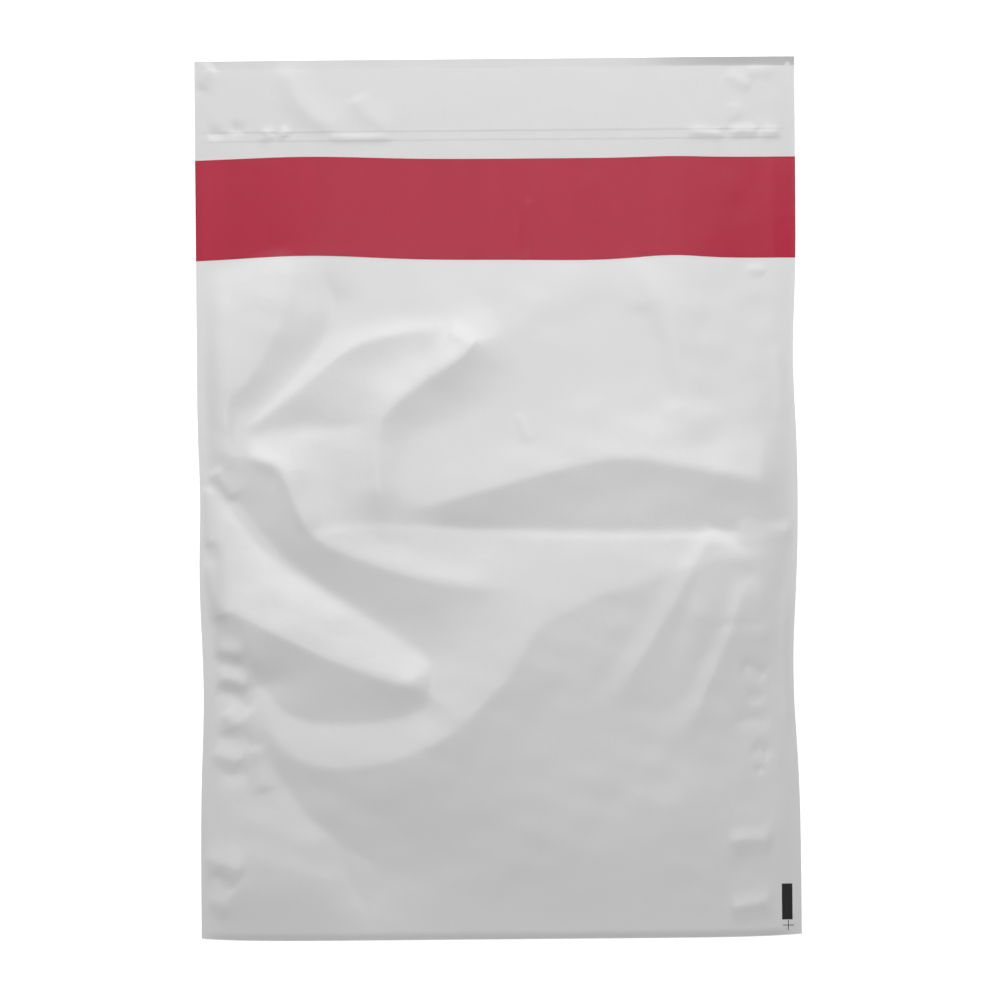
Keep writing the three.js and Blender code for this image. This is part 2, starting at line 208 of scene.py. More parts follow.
class FilmSettings(bpy.types.PropertyGroup):
    """Sizes and colours of the film pouch"""

    ply: FloatProperty(
        name="Ply", description="Thickness of one ply of the lips", default=0.2 * MM, unit="LENGTH"
    )
    bond: FloatProperty(name="Bond", description="Fused layer at the welds", default=0.05 * MM, unit="LENGTH")
    body_loft: FloatProperty(
        name="Body loft",
        description="Height of the front panel between its welds",
        default=2.3 * MM,
        unit="LENGTH",
    )
    lip_loft: FloatProperty(
        name="Lip loft", description="Height of the back lip's inner face", default=1.7 * MM, unit="LENGTH"
    )
    side_reach: FloatProperty(
        name="Side reach",
        description="Width over which the panel rises to its loft",
        default=60 * MM,
        unit="LENGTH",
    )
    fold_reach: FloatProperty(
        name="Fold reach", description="Rise above the bottom fold", default=70 * MM, unit="LENGTH"
    )
    roll: FloatProperty(
        name="Fold roll", description="Height of the bottom fold's round", default=0.6 * MM, unit="LENGTH"
    )
    margin: FloatProperty(
        name="Weld margin", description="Flat strip along each side edge", default=2 * MM, unit="LENGTH"
    )
    left_rim: FloatProperty(
        name="Left rim",
        description="The folds fade over this before the left weld",
        default=13 * MM,
        unit="LENGTH",
    )
    right_rim: FloatProperty(
        name="Right rim",
        description="The folds fade over this before the right weld",
        default=18 * MM,
        unit="LENGTH",
    )
    foot_rim: FloatProperty(
        name="Foot rim",
        description="The folds fade over this before the bottom fold",
        default=40 * MM,
        unit="LENGTH",
    )
    corner_lift: FloatProperty(
        name="Corner lift",
        description="How far the bottom corners are drawn up",
        default=1.6 * MM,
        unit="LENGTH",
    )
    corner_reach: FloatProperty(
        name="Corner reach", description="Height over which that fades", default=14 * MM, unit="LENGTH"
    )
    lip_step: FloatProperty(
        name="Lip step",
        description="The back lip stands above the front lip by this",
        default=4.5 * MM,
        unit="LENGTH",
    )
    mouth_depth: FloatProperty(
        name="Mouth depth",
        description="Front lip's edge down to the mouth's end",
        default=40 * MM,
        unit="LENGTH",
    )
    side_weld: FloatProperty(
        name="Side weld", description="Width of each weld", default=12 * MM, unit="LENGTH"
    )
    curl: FloatProperty(
        name="Lip curl",
        description="How far the back lip's right end curls up",
        default=2.2 * MM,
        unit="LENGTH",
    )
    ripple: FloatProperty(
        name="Ripple", description="Height of the film's slow unevenness", default=0.09 * MM, unit="LENGTH"
    )
    white: StringProperty(name="White", description="Outer face of the film, sRGB hex", default="#E2E2E2")
    # The lip colour is a little greyer than the white: partly the single ply's own tone, partly painted shade
    # that keeps the lip darker than the body
    lip: StringProperty(name="Lip", description="Outer face of the single ply, sRGB hex", default="#D6D6D6")
    grey: StringProperty(name="Grey", description="Inner face of the film, sRGB hex", default="#D4D4D4")
    ink: StringProperty(name="Ink", description="Printed marks, sRGB hex", default="#262626")


class StripSettings(bpy.types.PropertyGroup):
    """Closure strips between the lips"""

    clearance: FloatProperty(
        name="Clearance", description="Between the strips and the lips", default=0.05 * MM, unit="LENGTH"
    )
    adhesive: FloatProperty(name="Adhesive", description="Thickness", default=0.08 * MM, unit="LENGTH")
    liner: FloatProperty(name="Liner", description="Thickness", default=0.06 * MM, unit="LENGTH")
    step: FloatProperty(
        name="Step", description="Width of each step in the lip", default=0.9 * MM, unit="LENGTH"
    )
    adhesive_colour: StringProperty(name="Adhesive colour", description="sRGB hex", default="#D5CDAE")
    liner_colour: StringProperty(name="Liner colour", description="sRGB hex", default="#ECEAE2")


class TapeSettings(bpy.types.PropertyGroup):
    """Red security tape"""

    width: FloatProperty(name="Width", description="Across its web", default=50.5 * MM, unit="LENGTH")
    margin: FloatProperty(
        name="Margin", description="From the back lip's edge down to the tape", default=50 * MM, unit="LENGTH"
    )
    thickness: FloatProperty(
        name="Thickness", description="Tape with its glue", default=0.1 * MM, unit="LENGTH"
    )
    gap: FloatProperty(name="Gap", description="Over the film", default=0.03 * MM, unit="LENGTH")
    red: StringProperty(name="Red", description="sRGB hex", default="#AE1838")


class StageSettings(bpy.types.PropertyGroup):
    """Floor, lights and camera"""

    floor: StringProperty(name="Floor", description="sRGB hex", default="#F4F4F4")
    picture: FloatProperty(
        name="Picture width", description="Width of the table in the picture", default=0.5, unit="LENGTH"
    )
    distance: FloatProperty(name="Distance", description="Camera above the table", default=3, unit="LENGTH")
    turn: FloatProperty(
        name="Turn", description="The bag's turn in the picture", default=math.radians(0.5), subtype="ANGLE"
    )
    aim: FloatVectorProperty(
        name="Aim",
        description="Point of the table in the picture's middle",
        default=(1 * MM, -0.5 * MM),
        size=2,
    )
    key: FloatProperty(
        name="Key", description="Power of the window above the bag's head", default=15, unit="POWER"
    )
    fill: FloatProperty(name="Fill", description="Power of the window on the left", default=9, unit="POWER")
    ceiling: FloatProperty(
        name="Ceiling", description="Power of the panel overhead", default=2.4, unit="POWER"
    )
    sky: FloatProperty(name="Sky", description="Strength of the world", default=0.07)


def smoothstep(value, low, high):
    """A soft rise from 0 at low to 1 at high."""
    share = np.clip((value - low) / (high - low), 0, 1)
    return share * share * (3 - 2 * share)


def lerp(low, high, share):
    return low + (high - low) * share


def spline(line):
    """Points along a Catmull-Rom curve through the points of a crease, in metres."""
    knots = np.array(line, float) * MM
    last = len(knots) - 1
    place = np.linspace(0, last, CREASE_STEPS + 1)
    start = np.minimum(place.astype(int), last - 1)
    share = (place - start)[:, None]
    before, here = knots[np.maximum(start - 1, 0)], knots[start]
    there, after = knots[start + 1], knots[np.minimum(start + 2, last)]
    leave, arrive = (there - before) / 2, (after - here) / 2
    cubic = (2 * here - 2 * there + leave + arrive) * share**3
    square = (3 * there - 3 * here - 2 * leave - arrive) * share**2
    return cubic + square + leave * share + here


def crease_share(crease, path, s, t):
    """The share of a crease's height at points of the panel."""
    nearest = np.full(s.shape, np.inf)
    side = np.zeros(s.shape)
    along = np.zeros(s.shape)
    for k in range(CREASE_STEPS):
        start = path[k]
        run = path[k + 1] - start
        part = np.clip(((s - start[0]) * run[0] + (t - start[1]) * run[1]) / (run @ run), 0, 1)
        off_s = s - start[0] - part * run[0]
        off_t = t - start[1] - part * run[1]
        distance = np.hypot(off_s, off_t)
        closer = distance < nearest
        nearest = np.where(closer, distance, nearest)
        side = np.where(closer, run[0] * off_t - run[1] * off_s, side)
        along = np.where(closer, (k + part) / CREASE_STEPS, along)
    inside = smoothstep(np.minimum(along, 1 - along), 0, CREASE_FADE)
    width = np.where(side > 0, crease.left, crease.right) * MM
    width = lerp((crease.left + crease.right) / 2 * MM, width, inside)
    rounded = np.hypot(nearest, CREST_RADIUS) - CREST_RADIUS
    flank = np.maximum(1 - rounded / (2 * width), 0)
    return flank**2 * inside


def relief(creases, s, t):
    """The summed height of a table of creases at points of the panel."""
    height = np.zeros(s.shape)
    for crease in creases:
        path = spline(crease.line)
        reach = 2 * max(crease.left, crease.right) * MM + CREST_RADIUS
        low, high = path.min(0) - reach, path.max(0) + reach
        near = (s > low[0]) & (s < high[0]) & (t > low[1]) & (t < high[1])
        height[near] += crease.height * MM * crease_share(crease, path, s[near], t[near])
    return height


RIPPLE_WAVES = 14
RIPPLE_LENGTHS = (16 * MM, 55 * MM)
RIPPLE_SEED = 5


def ripples(s, t):
    """Slow unevenness of slack film: a sum of plane waves in all directions, about one high."""
    draw = np.random.default_rng(RIPPLE_SEED)
    height = np.zeros(s.shape)
    for _ in range(RIPPLE_WAVES):
        way = draw.uniform(0, math.tau)
        length = draw.uniform(*RIPPLE_LENGTHS)
        phase = draw.uniform(0, math.tau)
        height += np.sin((s * math.cos(way) + t * math.sin(way)) * math.tau / length + phase)
    return height / math.sqrt(RIPPLE_WAVES)


# The tape holds the film flatter: the share of the folds and of the ripple that goes on under it, and how
# far below and above its lower edge they fall to that
TAPE_CALM = 0.3
CALM_BELOW = 22 * MM
CALM_ABOVE = 8 * MM
RIPPLE_CALM = 0.4
RIPPLE_BELOW = 20 * MM

# Reaches at the edges: the fade of the wrinkles, the rise of the bottom fold's round in times its height, and
# the back lip's curl across the bag, below the front lip's edge and past the back lip's edge
WRINKLE_EDGE = 5 * MM
ROLL_REACH = 5
CURL_ENDS = (50 * MM, 126 * MM)
CURL_FOOT = 1 * MM
CURL_HEAD = 2 * MM


class Panel:
    """The heights of the bag's faces above the table, and where its flat panel lies."""

    def __init__(self, scene):
        self.film = scene.bag_film
        self.strips = scene.bag_strips
        self.weld = 2 * self.film.ply + self.film.bond
        self.front_lip = HALF_HEIGHT - self.film.lip_step
        self.mouth_bottom = self.front_lip - self.film.mouth_depth
        self.mouth_half = HALF_WIDTH - self.film.side_weld
        self.tape_top = HALF_HEIGHT - scene.bag_tape.margin
        self.tape_bottom = self.tape_top - scene.bag_tape.width

    def inside(self, s):
        """How far points lie inside the flat margin of the side welds."""
        return np.maximum(HALF_WIDTH - self.film.margin - np.abs(s), 0)

    def parting(self, s, t):
        """The share of its loft that the panel reaches, none at the side welds and the bottom fold."""
        sides = smoothstep(self.inside(s), 0, self.film.side_reach)
        return sides * smoothstep(t + HALF_HEIGHT, 0, self.film.fold_reach)

    def lip_parting(self, s):
        """How far the lips part, nothing at the side edges and all of it inside the welds."""
        return smoothstep(HALF_WIDTH - np.abs(s), 0, self.film.side_weld)

    def adhesive_step(self, t):
        """The step that the adhesive's lower edge presses through the front lip."""
        edge = ADHESIVE_BOX[0].y
        return (self.strips.adhesive + self.strips.clearance) * smoothstep(t, edge - self.strips.step, edge)

    def liner_step(self, t):
        """The step that the liner's lower edge presses through the front lip."""
        edge = LINER_BOX[0].y
        return (self.strips.liner + self.strips.clearance) * smoothstep(t, edge - self.strips.step, edge)

    def height(self, s, t):
        """The outer face of the front panel, without the steps of the closure strips."""
        film = self.film
        lip = film.lip_loft + self.strips.clearance + film.ply
        height = lerp(film.body_loft, lip, smoothstep(t, self.tape_bottom, self.mouth_bottom))
        height = lerp(self.weld, height, self.parting(s, t))
        height += film.roll * smoothstep(t + HALF_HEIGHT, 0, ROLL_REACH * film.roll) * self.lip_parting(s)
        free = smoothstep(self.inside(s), 0, np.where(s < 0, film.left_rim, film.right_rim))
        free *= smoothstep(t + HALF_HEIGHT, 0, film.foot_rim)
        slack = lerp(1, RIPPLE_CALM, smoothstep(t, self.tape_bottom - RIPPLE_BELOW, self.tape_bottom))
        calm = smoothstep(t, self.tape_bottom - CALM_BELOW, self.tape_bottom + CALM_ABOVE)
        calm = lerp(1, TAPE_CALM, calm)
        height += free * (calm * relief(FOLDS, s, t) + film.ripple * slack * ripples(s, t))
        edge = smoothstep(np.minimum(HALF_WIDTH - np.abs(s), t + HALF_HEIGHT), 0, WRINKLE_EDGE)
        height += edge * (relief(WRINKLES, s, t) + relief(LIP_WRINKLES, s, t))
        return np.maximum(height, self.weld)

    def front_outer(self, s, t):
        """The outer face of the front panel and its lip."""
        return self.height(s, t) + (self.liner_step(t) + self.adhesive_step(t)) * self.lip_parting(s)

    def front_inner(self, s, t):
        """The inner face of the front lip."""
        return self.front_outer(s, t) - self.film.ply

    def curl(self, s, t):
        """The right end of the back lip's free edge curls up."""
        end = smoothstep(s, *CURL_ENDS)
        return self.film.curl * end * smoothstep(t, self.front_lip - CURL_FOOT, HALF_HEIGHT + CURL_HEAD)

    def back_inner(self, s, t):
        """The inner face of the back lip."""
        gap = lerp(self.film.bond, self.strips.clearance, self.lip_parting(s))
        return self.height(s, t) - self.film.ply - gap + self.curl(s, t)

    def underside(self, s, t):
        """The face on the table, which only the curl lifts."""
        return self.curl(s, t)

    def tape_course(self, s, t):
        """Where points of a straight tape lie along the bag as it was laid."""
        share = (t - self.tape_bottom) / (self.tape_top - self.tape_bottom)
        for place, reach, low, high in TAPE_SHIFTS:
            t = t + lerp(low, high, share) * MM * np.exp(-(((s / MM - place) / reach) ** 2))
        return t

    def drape(self, s, t, height):
        """Where points of the flat panel lie, with its edges drawn in."""
        pull = np.zeros(s.shape)
        for side, place, depth, reach in EDGE_PULLS:
            pull += np.where(s * side > 0, depth * MM * np.exp(-(((t / MM - place) / reach) ** 2)), 0)
        out = np.abs(s) / HALF_WIDTH
        fade = np.exp(-(t + HALF_HEIGHT) / self.film.corner_reach)
        lift = self.film.corner_lift * out ** (2 * PULL_POWER) * fade
        return np.stack([s - np.sign(s) * pull * out**PULL_POWER, t + lift, height], -1)


class Skin:
    """Collects the patches and walls of one closed surface."""

    def __init__(self, panel, course=None):
        self.panel = panel
        self.course = course
        self.points = []
        self.faces = []
        self.finishes = []
        self.count = 0

    def add(self, points, faces, finish):
        """Adds points and the faces between them, all of one material."""
        self.points.append(points.reshape(-1, 3))
        self.faces += (np.asarray(faces) + self.count).tolist()
        self.finishes += [finish] * len(faces)
        self.count += len(self.points[-1])

    def place(self, s, t, height):
        """Points of the panel at a height, along the piece's own course if it has one."""
        if self.course is not None:
            t = self.course(s, t)
        return self.panel.drape(s, t, height(s, t))

    def patch(self, columns, rows, height, faces_up=True, finish=0):
        """A patch of film over a grid, facing up or down."""
        s, t = np.meshgrid(columns, rows)
        index = np.arange(s.size).reshape(s.shape)
        quads = np.stack([index[:-1, :-1], index[:-1, 1:], index[1:, 1:], index[1:, :-1]], -1).reshape(-1, 4)
        self.add(self.place(s, t, height), quads if faces_up else quads[:, ::-1], finish)

    def wall(self, path, *heights, finish=0):
        """A standing wall along a path, in tiers between heights, facing right of the way it runs."""
        s, t = np.array(path).T
        index = np.arange(len(s))
        for low, high in zip(heights, heights[1:]):
            rings = np.stack([self.place(s, t, low), self.place(s, t, high)])
            upper = index + len(s)
            quads = np.stack([index[:-1], index[1:], upper[1:], upper[:-1]], -1)
            self.add(rings, quads, finish)

    def underside(self, path, inner_rows, finish):
        """A coarse net of triangles that closes the underside within a closed path."""
        edge = np.array(path[:-1])
        first, last = -HALF_WIDTH + 2 * UNDERSIDE_MARGIN, HALF_WIDTH - UNDERSIDE_MARGIN
        s, t = np.meshgrid(np.arange(first, last, UNDERSIDE_PITCH), inner_rows)
        places = np.concatenate([edge, np.stack([s.ravel(), t.ravel()], -1)])
        flat = [Vector(place) for place in places]
        hem = [(k, (k + 1) % len(edge)) for k in range(len(edge))]
        verts, _, faces, _, _, _ = delaunay_2d_cdt(flat, hem, [], 1, NET_MERGE)
        if len(verts) != len(flat):
            raise ValueError("The underside's net lost or gained points")
        s, t = np.array([tuple(v) for v in verts]).T
        self.add(self.place(s, t, self.panel.underside), [list(reversed(f)) for f in faces], finish)

    def build(self, name, materials, sharp_angle):
        """The closed mesh as a finished object at the origin."""
        mesh = bpy.data.meshes.new(name)
        mesh.from_pydata(np.concatenate(self.points).tolist(), [], self.faces)
        for material in materials:
            mesh.materials.append(material)
        mesh.polygons.foreach_set("material_index", self.finishes)
        piece = bpy.data.objects.new(name, mesh)
        bpy.context.scene.collection.objects.link(piece)
        bpy.ops.object.select_all(action="DESELECT")
        bpy.context.view_layer.objects.active = piece
        piece.select_set(True)
        bpy.ops.object.mode_set(mode="EDIT")
        bpy.ops.mesh.select_all(action="SELECT")
        bpy.ops.mesh.remove_doubles(threshold=MERGE)
        bpy.ops.object.mode_set(mode="OBJECT")
        bpy.ops.object.shade_smooth_by_angle(angle=sharp_angle)
        return piece


def stations(lines, pitch):
    """Evenly spaced stations through a rising list of lines that must be among them."""
    places = [lines[0]]
    for low, high in zip(lines, lines[1:]):
        count = max(1, round((high - low) / pitch))
        places += [lerp(low, high, step / count) for step in range(1, count)] + [high]
    return places


def within(places, low, high):
    return [place for place in places if low <= place <= high]


def along(columns, t):
    return [(s, t) for s in columns]


def upward(s, rows):
    return [(s, t) for t in rows]


def rim(columns, rows):
    """Counter-clockwise path round a grid, closed on its first point."""
    foot, head = along(columns, rows[0]), along(columns, rows[-1])
    left, right = upward(columns[0], rows), upward(columns[-1], rows)
    return foot[:-1] + right[:-1] + head[:0:-1] + left[::-1]


def grid_lines(panel):
    """Columns and rows of the whole panel, through every line that a piece starts or ends on."""
    sides = [panel.mouth_half, STRIP_HALF, HALF_WIDTH]
    columns = stations(sorted([-side for side in sides] + sides), FILM_PITCH)
    step = panel.strips.step
    seam = [LINER_BOX[0].y - step, LINER_BOX[0].y, ADHESIVE_BOX[0].y - step, ADHESIVE_BOX[0].y]
    rows = stations([-HALF_HEIGHT, panel.tape_bottom, panel.tape_top, panel.mouth_bottom], FILM_PITCH)
    rows += stations([panel.mouth_bottom] + seam + [seam[-1] + step], SEAM_PITCH)[1:]
    lips = [rows[-1], ADHESIVE_BOX[1].y, LINER_BOX[1].y, panel.front_lip, HALF_HEIGHT]
    rows += stations(lips, FILM_PITCH)[1:]
    return columns, rows


def linear(code):
    """A hex sRGB colour as linear red, green, blue and alpha."""
    parts = [int(code[k : k + 2], 16) / 255 for k in (1, 3, 5)]
    return [c / 12.92 if c <= 0.04045 else ((c + 0.055) / 1.055) ** 2.4 for c in parts] + [1.0]


def shaded(code, share):
    """A hex colour made darker or lighter, as linear red, green, blue and alpha."""
    return [c * share for c in linear(code)[:3]] + [1.0]


def add_node(tree, kind, links=None, values=None, **settings):
    """Adds a node with its settings, socket values and links from other sockets."""
    node = tree.nodes.new(kind)
    for key, value in settings.items():
        setattr(node, key, value)
    for socket, value in (values or {}).items():
        node.inputs[socket].default_value = value
    for socket, source in (links or {}).items():
        tree.links.new(source, node.inputs[socket])
    return node


def new_material(name):
    """An empty node material with its output, Principled shader and Object coordinates."""
    material = bpy.data.materials.new(name)
    material.use_nodes = True
    tree = material.node_tree
    tree.nodes.clear()
    shader = add_node(tree, "ShaderNodeBsdfPrincipled")
    add_node(tree, "ShaderNodeOutputMaterial", {"Surface": shader.outputs["BSDF"]})
    place = add_node(tree, "ShaderNodeTexCoord").outputs["Object"]
    return material, tree, shader, place


def ink_mask(tree, place):
    """One inside the printed boxes and zero outside them."""
    axes = add_node(tree, "ShaderNodeSeparateXYZ", {"Vector": place})
    total = None
    for middle_s, middle_t, width, height in INK_BOXES:
        inside = []
        for axis, middle, size in (("X", middle_s, width), ("Y", middle_t, height)):
            off = add_node(
                tree, "ShaderNodeMath", {0: axes.outputs[axis]}, {1: middle * MM}, operation="SUBTRACT"
            )
            off = add_node(tree, "ShaderNodeMath", {0: off.outputs[0]}, operation="ABSOLUTE")
            near = add_node(
                tree, "ShaderNodeMath", {0: off.outputs[0]}, {1: size * MM / 2}, operation="LESS_THAN"
            )
            inside.append(near.outputs[0])
        both = add_node(tree, "ShaderNodeMath", {0: inside[0], 1: inside[1]}, operation="MULTIPLY")
        if total is not None:
            both = add_node(tree, "ShaderNodeMath", {0: both.outputs[0], 1: total}, operation="MAXIMUM")
        total = both.outputs[0]
    return total


CLOUD_SIZE = 45 * MM
DIMPLE_SIZE = 7 * MM
DIE_LINE_SIZE = 1.6 * MM
DIE_LINE_LENGTH = 160 * MM
DIMPLE_DEPTH = 0.12 * MM
DIE_LINE_DEPTH = 0.012 * MM
CLOUD_SHADE = 0.95
FILM_GLOSS = {"To Min": 0.27, "To Max": 0.33}
POLYETHYLENE_IOR = 1.51


def film_material(name, colour, lip=None, lip_shade_start=0, ink=None):
    """Blown polyethylene film: semi-gloss, faintly cloudy, with soft dimples and die lines along the web.

    The lines are drawn about twice as coarse as real ones, so that they show. Above the given lip start the
    lip is
    painted a little greyer than the pouch: partly the single ply's own, less opaque tone, partly painted
    shade.
    """
    material, tree, shader, place = new_material(name)
    cloud = add_node(tree, "ShaderNodeTexNoise", {"Vector": place}, {"Scale": 1 / CLOUD_SIZE, "Detail": 3})
    tint = add_node(
        tree,
        "ShaderNodeMix",
        {"Factor": cloud.outputs["Fac"]},
        {"A": linear(colour), "B": shaded(colour, CLOUD_SHADE)},
        data_type="RGBA",
    )
    base = tint.outputs["Result"]
    # From here up the lip is painted greyer: partly the single ply's tone, partly painted shade
    if lip is not None:
        axes = add_node(tree, "ShaderNodeSeparateXYZ", {"Vector": place})
        lip_shade_mask = add_node(
            tree, "ShaderNodeMath", {0: axes.outputs["Y"]}, {1: lip_shade_start}, operation="GREATER_THAN"
        )
        lips = add_node(
            tree,
            "ShaderNodeMix",
            {"Factor": lip_shade_mask.outputs[0], "A": base},
            {"B": linear(lip)},
            data_type="RGBA",
        )
        base = lips.outputs["Result"]
    if ink is not None:
        printed = add_node(
            tree,
            "ShaderNodeMix",
            {"Factor": ink_mask(tree, place), "A": base},
            {"B": linear(ink)},
            data_type="RGBA",
        )
        base = printed.outputs["Result"]
    tree.links.new(base, shader.inputs["Base Color"])
    gloss = add_node(tree, "ShaderNodeMapRange", {"Value": cloud.outputs["Fac"]}, FILM_GLOSS)
    tree.links.new(gloss.outputs["Result"], shader.inputs["Roughness"])
    shader.inputs["IOR"].default_value = POLYETHYLENE_IOR
    stretched = add_node(
        tree,
        "ShaderNodeMapping",
        {"Vector": place},
        {"Scale": (1 / DIE_LINE_SIZE, 1 / DIE_LINE_LENGTH, 1 / DIE_LINE_LENGTH)},
    )
    lines = add_node(tree, "ShaderNodeTexNoise", {"Vector": stretched.outputs[0]}, {"Scale": 1, "Detail": 2})
    dimples = add_node(tree, "ShaderNodeTexNoise", {"Vector": place}, {"Scale": 1 / DIMPLE_SIZE, "Detail": 2})
    coarse = add_node(
        tree, "ShaderNodeBump", {"Height": dimples.outputs["Fac"]}, {"Strength": 1, "Distance": DIMPLE_DEPTH}
    )
    fine = add_node(
        tree,
        "ShaderNodeBump",
        {"Height": lines.outputs["Fac"], "Normal": coarse.outputs["Normal"]},
        {"Strength": 1, "Distance": DIE_LINE_DEPTH},
    )
    tree.links.new(fine.outputs["Normal"], shader.inputs["Normal"])
    return material


BAND_WIDTH = 14 * MM
BAND_LENGTH = 300 * MM
BAND_SHADES = (1.08, 0.93)
MOTTLE_SIZE = 6 * MM
MOTTLE_DEPTH = 0.05 * MM
TAPE_GLOSS = {"To Min": 0.22, "To Max": 0.28}
LACQUER_IOR = 1.4


def tape_material(name, colour):
    """Printed polyester tape: satin red with faint bands across the web and a slightly mottled print."""
    material, tree, shader, place = new_material(name)
    bands = add_node(
        tree,
        "ShaderNodeMapping",
        {"Vector": place},
        {"Scale": (1 / BAND_WIDTH, 1 / BAND_LENGTH, 1 / BAND_LENGTH)},
    )
    streak = add_node(tree, "ShaderNodeTexNoise", {"Vector": bands.outputs[0]}, {"Scale": 1, "Detail": 3})
    tint = add_node(
        tree,
        "ShaderNodeMix",
        {"Factor": streak.outputs["Fac"]},
        {"A": shaded(colour, BAND_SHADES[0]), "B": shaded(colour, BAND_SHADES[1])},
        data_type="RGBA",
    )
    tree.links.new(tint.outputs["Result"], shader.inputs["Base Color"])
    mottle = add_node(tree, "ShaderNodeTexNoise", {"Vector": place}, {"Scale": 1 / MOTTLE_SIZE, "Detail": 3})
    gloss = add_node(tree, "ShaderNodeMapRange", {"Value": mottle.outputs["Fac"]}, TAPE_GLOSS)
    tree.links.new(gloss.outputs["Result"], shader.inputs["Roughness"])
    shader.inputs["IOR"].default_value = LACQUER_IOR
    bump = add_node(
        tree, "ShaderNodeBump", {"Height": mottle.outputs["Fac"]}, {"Strength": 1, "Distance": MOTTLE_DEPTH}
    )
    tree.links.new(bump.outputs["Normal"], shader.inputs["Normal"])
    return material


STRIP_SHADE = 0.88
STRIP_DEPTH = 0.02 * MM


def strip_material(name, colour, rough, grain):
    """A closure strip: pale, with a fine grain in its colour and surface."""
    material, tree, shader, place = new_material(name)
    noise = add_node(tree, "ShaderNodeTexNoise", {"Vector": place}, {"Scale": 1 / grain, "Detail": 4})
    tint = add_node(
        tree,
        "ShaderNodeMix",
        {"Factor": noise.outputs["Fac"]},
        {"A": linear(colour), "B": shaded(colour, STRIP_SHADE)},
        data_type="RGBA",
    )
    tree.links.new(tint.outputs["Result"], shader.inputs["Base Color"])
    shader.inputs["Roughness"].default_value = rough
    bump = add_node(
        tree, "ShaderNodeBump", {"Height": noise.outputs["Fac"]}, {"Strength": 1, "Distance": STRIP_DEPTH}
    )
    tree.links.new(bump.outputs["Normal"], shader.inputs["Normal"])
    return material


# Places of the pouch's three materials
OUTER, BACK, INNER = 0, 1, 2

# The lip's greyer colour, which is partly painted shade, starts this far below the tape's upper edge, where
# the tape hides the change
LIP_HEM = 10 * MM

SHARP_ANGLE = math.radians(50)


class BAG_OT_film_pouch(bpy.types.Operator):
    """Model the folded and welded film, with its creases, lips and mouth"""

    bl_idname = "bag.film_pouch"
    bl_label = "Film pouch"

    def execute(self, context):
        film = context.scene.bag_film
        panel = Panel(context.scene)
        columns, rows = grid_lines(panel)
        front_rows = within(rows, -HALF_HEIGHT, panel.front_lip)
        step_rows = within(rows, panel.front_lip, HALF_HEIGHT)
        mouth_columns = within(columns, -panel.mouth_half, panel.mouth_half)
        mouth_rows = within(rows, panel.mouth_bottom, panel.front_lip)
        skin = Skin(panel)
        skin.patch(columns, front_rows, panel.front_outer, finish=OUTER)
        skin.patch(columns, step_rows, panel.back_inner, finish=INNER)
        outline = rim(columns, rows)
        skin.wall(outline, panel.underside, panel.back_inner, finish=BACK)
        net = [-HALF_HEIGHT + 2 * UNDERSIDE_MARGIN, panel.front_lip - UNDERSIDE_MARGIN / 2]
        skin.underside(outline, stations(net, UNDERSIDE_PITCH), BACK)
        edge = upward(-HALF_WIDTH, front_rows)[::-1] + along(columns, -HALF_HEIGHT)[1:-1]
        edge += upward(HALF_WIDTH, front_rows)
        skin.wall(edge, panel.back_inner, panel.front_inner, panel.front_outer, finish=OUTER)
        left_weld = within(columns, -HALF_WIDTH, -panel.mouth_half)
        right_weld = within(columns, panel.mouth_half, HALF_WIDTH)
        for weld in (left_weld, right_weld):
            lip = along(weld, panel.front_lip)[::-1]
            skin.wall(lip, panel.back_inner, panel.front_inner, panel.front_outer, finish=OUTER)
        lip = along(mouth_columns, panel.front_lip)[::-1]
        skin.wall(lip, panel.front_inner, panel.front_outer, finish=OUTER)
        skin.patch(mouth_columns, mouth_rows, panel.back_inner, finish=INNER)
        skin.patch(mouth_columns, mouth_rows, panel.front_inner, faces_up=False, finish=INNER)
        ends = (
            along(mouth_columns, panel.mouth_bottom)[::-1],
            upward(-panel.mouth_half, mouth_rows),
            upward(panel.mouth_half, mouth_rows)[::-1],
        )
        for end in ends:
            skin.wall(end, panel.back_inner, panel.front_inner, finish=INNER)
        # Start of the lip's greyer colour, which is partly painted shade
        lip_shade_start = panel.tape_top - LIP_HEM
        materials = (
            film_material("white_polyethylene_film", film.white, film.lip, lip_shade_start, film.ink),
            film_material("white_polyethylene_film_back", film.white),
            film_material("grey_film_inner_face", film.grey),
        )
        piece = skin.build("pouch", materials, SHARP_ANGLE)
        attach(piece, BODY)
        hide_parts("film_pouch")
        return {"FINISHED"}


def strip_piece(panel, name, columns, rows, under, thickness, material, course=None):
    """A thin closed strip that follows the film."""
    skin = Skin(panel, course)

    def over(s, t):
        return under(s, t) + thickness

    skin.patch(columns, rows, over)
    skin.patch(columns, rows, under, faces_up=False)
    skin.wall(rim(columns, rows), under, over)
    return skin.build(name, [material], SHARP_ANGLE)


